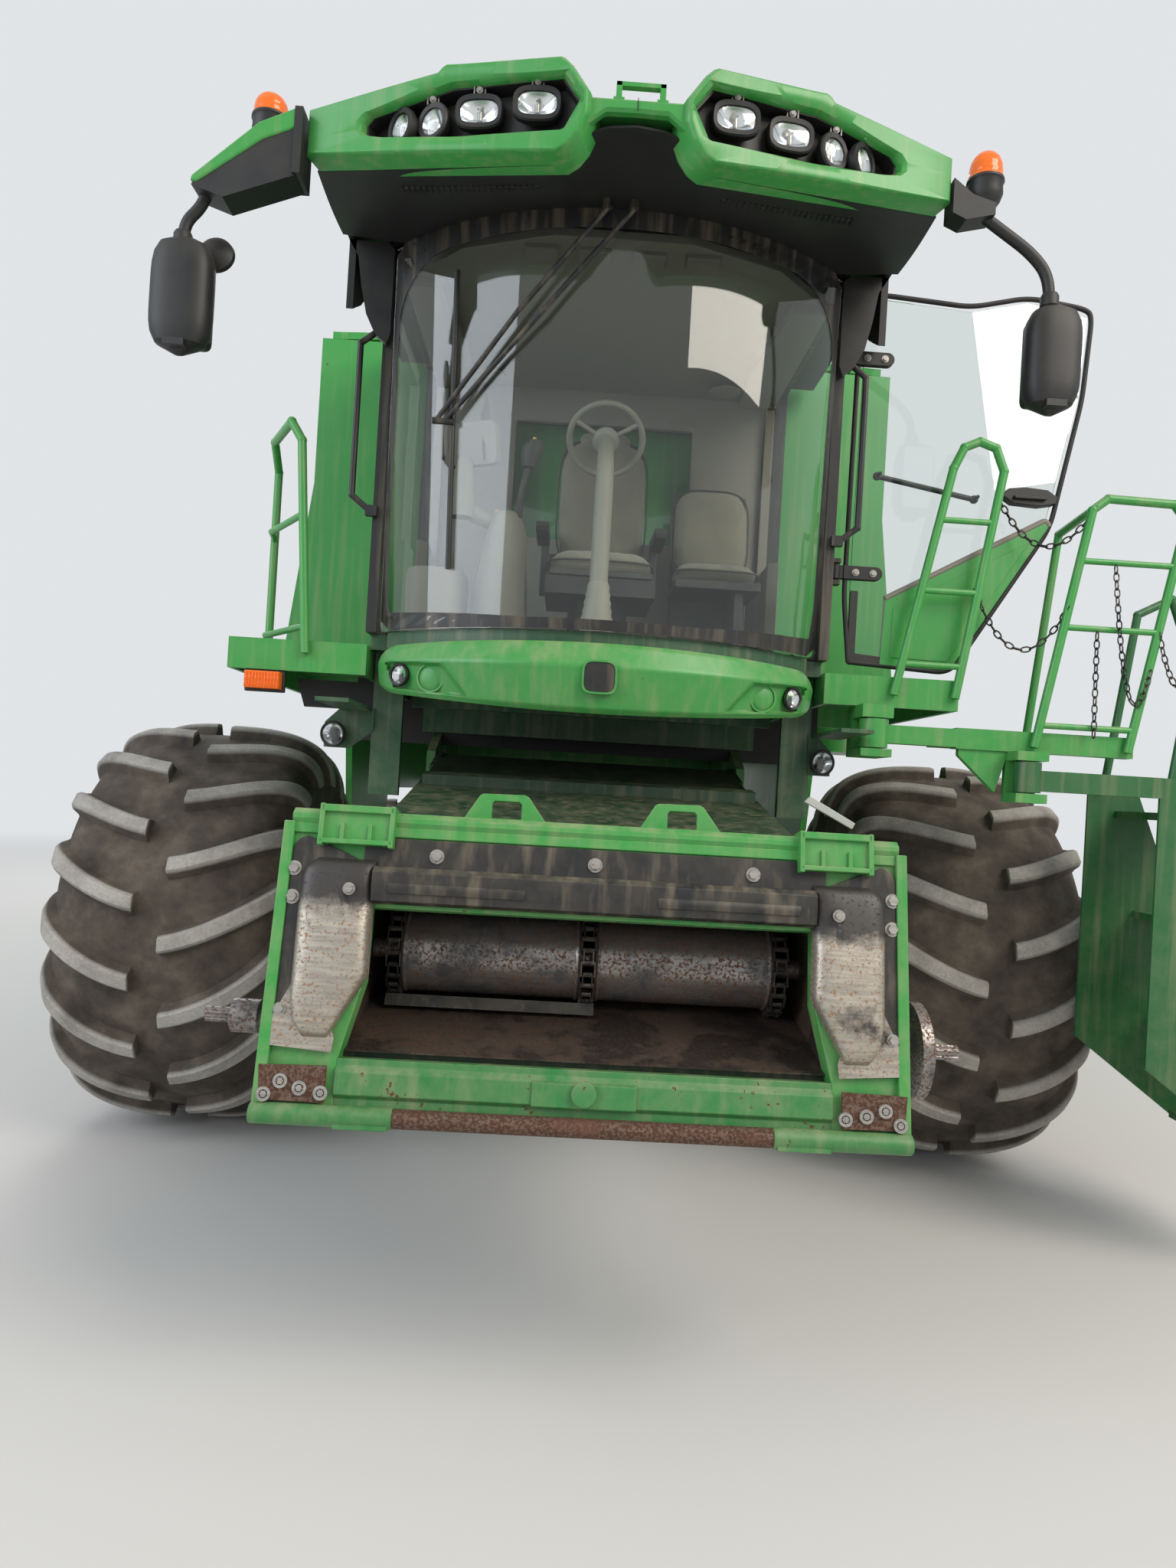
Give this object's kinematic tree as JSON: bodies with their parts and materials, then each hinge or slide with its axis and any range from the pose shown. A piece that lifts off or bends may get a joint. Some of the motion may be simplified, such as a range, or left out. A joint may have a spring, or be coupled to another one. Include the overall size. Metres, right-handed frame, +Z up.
{
  "type": "combine harvester",
  "caption": "Self-propelled combine harvester without its header: cab, grain tank, feeder house, big lugged front tyres, unloading auger and swing-out ladder.",
  "frame": {"origin": "on the ground at the middle of the machine's overall box", "axes": "+Z up, the machine faces -Y and its left side is +X"},
  "size_m": [5.3512, 9.0074, 4.4776],
  "materials": {
    "green_paint": "semi-gloss machine enamel, dusty",
    "dark_green_paint": "semi-gloss machine enamel in shade",
    "yellow_paint": "gloss enamel, dusty",
    "black_paint": "satin powder coat",
    "tyre_rubber": "dusty, scuffed lug tops",
    "black_plastic": "grained moulding",
    "cab_plastic": "grained moulding",
    "black_rubber": "moulded edge seal",
    "cab_glass": "clear curved glass",
    "lamp_chrome": "clear lens over a bright reflector",
    "amber_lens": "translucent amber",
    "seat_cloth": "woven seat cloth",
    "worn_steel": "worn to bare metal with rust",
    "chain_steel": "oily dark steel",
    "rod_chrome": "polished chrome",
    "exhaust_steel": "heat dulled",
    "engine_block": "painted casting"
  },
  "bodies": {
    "chassis": {"main_frame": "green_paint", "front_axle": "green_paint", "separator_body": "green_paint", "grain_tank": "green_paint", "side_panels": "green_paint", "rear_hood": "green_paint", "engine": "engine_block", "exhaust": "exhaust_steel", "fuel_tank": "black_plastic", "chopper": "green_paint", "deck_left": "green_paint", "deck_right": "green_paint", "cab_floor": "dark_green_paint", "cab_frame": "black_paint", "cab_roof": "green_paint", "roof_visor": "green_paint", "roof_lining": "black_plastic", "work_lamps": "lamp_chrome", "windscreen": "cab_glass", "cab_glass": "cab_glass", "nose_panel": "green_paint", "nose_lamps": "lamp_chrome", "cab_support": "green_paint", "seat_base": "black_plastic", "seat_cushions": "seat_cloth", "steering_column": "cab_plastic", "control_console": "cab_plastic", "wipers": "black_paint", "mirrors": "black_plastic", "beacons": "amber_lens", "auger_base": "green_paint", "rear_axle": "green_paint", "rear_steps": "green_paint"},
    "feeder_house": {"feeder_housing": "green_paint", "feeder_face": "green_paint", "feeder_sill": "green_paint", "feeder_covers": "worn_steel", "feeder_drum": "worn_steel", "feeder_chain": "chain_steel"},
    "lift_barrels": {"lift_barrels": "black_paint"},
    "lift_rods": {"lift_rods": "rod_chrome"},
    "cab_door": {"door_frame": "black_rubber", "door_glass": "cab_glass"},
    "landing": {"landing": "green_paint"},
    "ladder": {"ladder": "green_paint"},
    "tank_cover_left": {"tank_cover_left": "green_paint"},
    "tank_cover_right": {"tank_cover_right": "green_paint"},
    "unloading_auger": {"unloading_auger": "green_paint"},
    "tailboard": {"tailboard": "dark_green_paint"},
    "cooling_screen": {"cooling_screen": "black_paint"},
    "knuckle_left": {"knuckle_left": "green_paint"},
    "knuckle_right": {"knuckle_right": "green_paint"},
    "front_wheel_left": {"front_tyre_left": "tyre_rubber", "front_rim_left": "yellow_paint"},
    "front_wheel_right": {"front_tyre_right": "tyre_rubber", "front_rim_right": "yellow_paint"},
    "rear_wheel_left": {"rear_tyre_left": "tyre_rubber", "rear_rim_left": "yellow_paint"},
    "rear_wheel_right": {"rear_tyre_right": "tyre_rubber", "rear_rim_right": "yellow_paint"}
  },
  "joints": [
    {"name": "front_left_spin", "type": "hinge", "parent": "chassis", "child": "front_wheel_left", "pos_m": [1.625, -1.79625, 1], "axis": [1, 0, 0], "continuous": true},
    {"name": "front_right_spin", "type": "hinge", "parent": "chassis", "child": "front_wheel_right", "pos_m": [-2.075, -1.79625, 1], "axis": [1, 0, 0], "continuous": true},
    {"name": "steer_left", "type": "hinge", "parent": "chassis", "child": "knuckle_left", "pos_m": [0.905, 1.75375, 0.8], "axis": [0, 0, 1], "range_deg": [-30, 30]},
    {"name": "steer_right", "type": "hinge", "parent": "chassis", "child": "knuckle_right", "pos_m": [-1.355, 1.75375, 0.8], "axis": [0, 0, 1], "range_deg": [-30, 30]},
    {"name": "rear_left_spin", "type": "hinge", "parent": "knuckle_left", "child": "rear_wheel_left", "pos_m": [1.275, 1.75375, 0.8], "axis": [1, 0, 0], "continuous": true},
    {"name": "rear_right_spin", "type": "hinge", "parent": "knuckle_right", "child": "rear_wheel_right", "pos_m": [-1.725, 1.75375, 0.8], "axis": [1, 0, 0], "continuous": true},
    {"name": "feeder_lift", "type": "hinge", "parent": "chassis", "child": "feeder_house", "pos_m": [-0.225, -2.21625, 1.82], "axis": [-1, 0, 0], "range_deg": [-14, 12]},
    {"name": "lift_tilt", "type": "hinge", "parent": "chassis", "child": "lift_barrels", "pos_m": [-0.225, -2.03625, 0.78], "axis": [-1, 0, 0], "range_deg": [-11, 10]},
    {"name": "lift_extend", "type": "slide", "parent": "lift_barrels", "child": "lift_rods", "axis": [0, -0.9778, 0.2095], "range_m": [-0.26, 0.22]},
    {"name": "door_swing", "type": "hinge", "parent": "chassis", "child": "cab_door", "pos_m": [0.7, -3.14125, 3], "axis": [0, 0, 1], "range_deg": [0, 90]},
    {"name": "landing_swing", "type": "hinge", "parent": "chassis", "child": "landing", "pos_m": [0.858, -3.24625, 2.05], "axis": [0, 0, -1], "range_deg": [0, 30]},
    {"name": "ladder_swing", "type": "hinge", "parent": "landing", "child": "ladder", "pos_m": [1.435, -3.32125, 1.9], "axis": [0, 0, -1], "range_deg": [0, 90]},
    {"name": "cover_left_lift", "type": "hinge", "parent": "chassis", "child": "tank_cover_left", "pos_m": [1.215, -0.62625, 4.012], "axis": [0, 1, 0], "range_deg": [0, 105]},
    {"name": "cover_right_lift", "type": "hinge", "parent": "chassis", "child": "tank_cover_right", "pos_m": [-1.665, -0.62625, 4.012], "axis": [0, -1, 0], "range_deg": [0, 105]},
    {"name": "auger_swing", "type": "hinge", "parent": "chassis", "child": "unloading_auger", "pos_m": [1.215, -1.37625, 2.7], "axis": [0, 0, -1], "range_deg": [0, 100]},
    {"name": "tailboard_tilt", "type": "hinge", "parent": "chassis", "child": "tailboard", "pos_m": [-0.225, 3.99375, 2.23], "axis": [1, 0, 0], "range_deg": [-10, 40]},
    {"name": "screen_spin", "type": "hinge", "parent": "chassis", "child": "cooling_screen", "pos_m": [-1.425, 1.70375, 3.11], "axis": [1, 0, 0], "continuous": true}
  ],
  "couplings": [
    {"joint": "steer_right", "follows": "steer_left", "ratio": 1},
    {"joint": "lift_tilt", "follows": "feeder_lift", "ratio": 0.71},
    {"joint": "lift_extend", "follows": "feeder_lift", "m_per_rad": 0.975}
  ]
}
